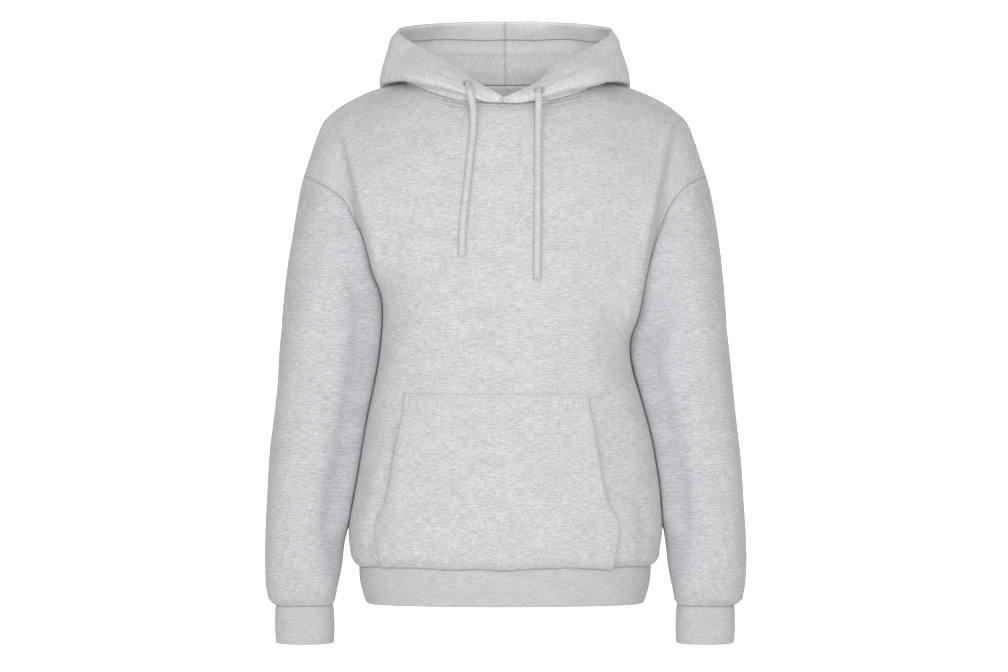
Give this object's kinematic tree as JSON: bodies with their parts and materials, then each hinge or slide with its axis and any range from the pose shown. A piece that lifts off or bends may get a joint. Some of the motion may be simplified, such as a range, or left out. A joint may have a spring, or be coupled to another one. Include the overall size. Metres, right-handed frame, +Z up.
{
  "type": "pullover hoodie",
  "caption": "Pullover hoodie in brushed knit cloth with the hood laid back, drop shoulders, a kangaroo pocket, ribbed cuffs and hem, and a drawcord with two hanging ends.",
  "frame": {"origin": "midpoint between the two high points of the shoulders, where the garment rests on the wearer", "axes": "+Z up along the standing wearer, +Y towards the wearer's back, so the front faces -Y"},
  "size_m": [0.6228, 0.337, 0.8218],
  "materials": {
    "fleece": "matt brushed heather knit",
    "rib": "matt one-by-one rib knit",
    "cord": "matt braided cotton"
  },
  "bodies": {
    "root": {"front_panel": "fleece", "back_panel": "fleece", "sleeve_left": "fleece", "sleeve_right": "fleece", "cuff_left": "rib", "cuff_right": "rib", "hem_band": "rib", "hood_left": "fleece", "hood_right": "fleece", "pocket": "fleece", "drawcord_left": "cord", "drawcord_right": "cord"}
  },
  "joints": []
}
